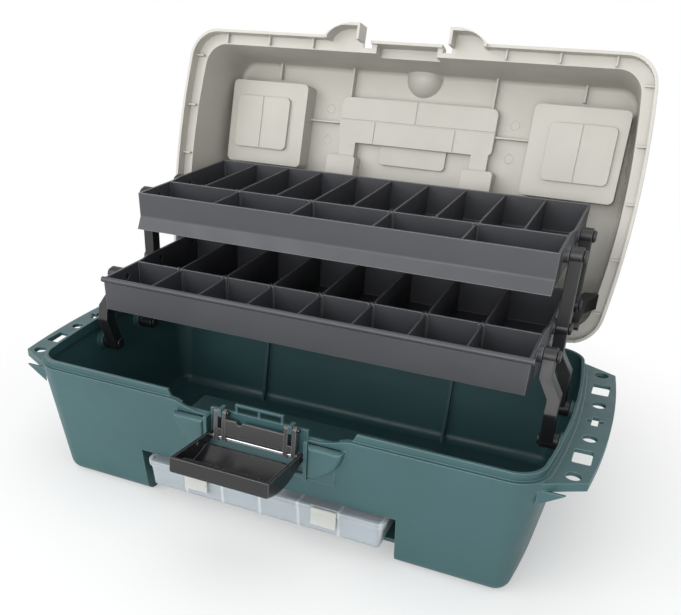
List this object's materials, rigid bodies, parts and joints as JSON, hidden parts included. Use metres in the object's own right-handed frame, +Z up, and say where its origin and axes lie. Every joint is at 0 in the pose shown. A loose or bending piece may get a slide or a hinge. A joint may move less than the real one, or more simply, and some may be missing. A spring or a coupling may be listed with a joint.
{
  "type": "tackle box",
  "caption": "Moulded tackle box standing open, with two cantilever trays, an over-centre latch, a carrying handle and a pull-out clear organiser.",
  "frame": {"origin": "middle of the tub's length and depth, on the plane that it stands on", "axes": "+X along the length, +Y from the latch towards the lid's hinge, +Z up"},
  "size_m": [0.481, 0.4302, 0.3565],
  "materials": {
    "green_shell": "moulded, satin",
    "beige_shell": "moulded, satin",
    "grey_tray": "moulded, fine grain",
    "black_fitting": "moulded, satin",
    "gloss_black": "moulded, glossy",
    "clear_box": "moulded, clear",
    "white_clip": "moulded, translucent",
    "steel_wire": "drawn wire"
  },
  "bodies": {
    "tub": {"tub": "green_shell", "lid_hinge_pins": "steel_wire", "arm_base_pins": "black_fitting", "latch_pins": "steel_wire"},
    "lid": {"lid": "beige_shell", "lid_stays": "black_fitting", "handle_pins": "steel_wire", "cover_hinge_pins": "steel_wire"},
    "long_arms": {"long_arms": "black_fitting"},
    "short_arms": {"short_arms": "black_fitting"},
    "rear_arms": {"rear_arms": "black_fitting"},
    "lower_tray": {"lower_tray": "grey_tray", "lower_tray_pins": "black_fitting", "lower_front_dividers": "grey_tray", "lower_rear_dividers": "grey_tray"},
    "upper_tray": {"upper_tray": "grey_tray", "upper_tray_pins": "black_fitting", "upper_front_dividers": "grey_tray", "upper_rear_dividers": "grey_tray"},
    "latch_link": {"latch_link": "gloss_black", "latch_rod": "steel_wire"},
    "latch_lever": {"latch_lever": "gloss_black"},
    "organiser": {"organiser_box": "clear_box", "organiser_lid": "clear_box"},
    "clip_left": {"organiser_clip_left": "white_clip"},
    "clip_right": {"organiser_clip_right": "white_clip"},
    "carry_handle": {"carry_handle": "black_fitting"},
    "cover_left": {"lid_cover_left": "clear_box"},
    "cover_right": {"lid_cover_right": "clear_box"}
  },
  "joints": [
    {"name": "lid_hinge", "type": "hinge", "parent": "tub", "child": "lid", "pos_m": [0, 0.1196, 0.1136], "axis": [1, 0, 0], "range_deg": [0, 105]},
    {"name": "long_arm_hinge", "type": "hinge", "parent": "tub", "child": "long_arms", "pos_m": [0, 0.0424, 0.09], "axis": [1, 0, 0], "range_deg": [0, 58.1]},
    {"name": "short_arm_hinge", "type": "hinge", "parent": "tub", "child": "short_arms", "pos_m": [0, -0.0153, 0.09], "axis": [1, 0, 0], "range_deg": [0, 58.1]},
    {"name": "lower_tray_pivot", "type": "hinge", "parent": "long_arms", "child": "lower_tray", "pos_m": [0, 0.0424, 0.158], "axis": [1, 0, 0], "range_deg": [-58.1, 0]},
    {"name": "upper_tray_pivot", "type": "hinge", "parent": "long_arms", "child": "upper_tray", "pos_m": [0, 0.0424, 0.216], "axis": [1, 0, 0], "range_deg": [-58.1, 0]},
    {"name": "rear_arm_pivot", "type": "hinge", "parent": "lower_tray", "child": "rear_arms", "pos_m": [0, 0.1001, 0.158], "axis": [1, 0, 0], "range_deg": [0, 58.1]},
    {"name": "latch_lever_hinge", "type": "hinge", "parent": "latch_link", "child": "latch_lever", "pos_m": [0, -0.1164, 0.0855], "axis": [1, 0, 0], "range_deg": [-87.4, 0]},
    {"name": "latch_link_hinge", "type": "hinge", "parent": "tub", "child": "latch_link", "pos_m": [0, -0.1146, 0.1064], "axis": [1, 0, 0], "range_deg": [0, 4.5]},
    {"name": "organiser_slide", "type": "slide", "parent": "tub", "child": "organiser", "axis": [0, -1, 0], "range_m": [0, 0.1]},
    {"name": "clip_left_hinge", "type": "hinge", "parent": "organiser", "child": "clip_left", "pos_m": [-0.056, -0.1112, 0.0404], "axis": [1, 0, 0], "range_deg": [-95, 0]},
    {"name": "clip_right_hinge", "type": "hinge", "parent": "organiser", "child": "clip_right", "pos_m": [0.056, -0.1112, 0.0404], "axis": [1, 0, 0], "range_deg": [-95, 0]},
    {"name": "handle_hinge", "type": "hinge", "parent": "lid", "child": "carry_handle", "pos_m": [0, 0.22597, 0.21927], "axis": [1, 0, 0], "range_deg": [-95, 0]},
    {"name": "cover_left_hinge", "type": "hinge", "parent": "lid", "child": "cover_left", "pos_m": [-0.1552, 0.23252, 0.20468], "axis": [1, 0, 0], "range_deg": [-100, 0]},
    {"name": "cover_right_hinge", "type": "hinge", "parent": "lid", "child": "cover_right", "pos_m": [0.1552, 0.23252, 0.20468], "axis": [1, 0, 0], "range_deg": [-100, 0]}
  ],
  "couplings": [
    {"joint": "long_arm_hinge", "follows": "lid_hinge", "ratio": 0.55276},
    {"joint": "short_arm_hinge", "follows": "lid_hinge", "ratio": 0.55276},
    {"joint": "lower_tray_pivot", "follows": "lid_hinge", "ratio": -0.55276},
    {"joint": "upper_tray_pivot", "follows": "lid_hinge", "ratio": -0.55276},
    {"joint": "rear_arm_pivot", "follows": "lid_hinge", "ratio": 0.55276},
    {"joint": "latch_link_hinge", "follows": "latch_lever_hinge", "ratio": -0.05034}
  ]
}
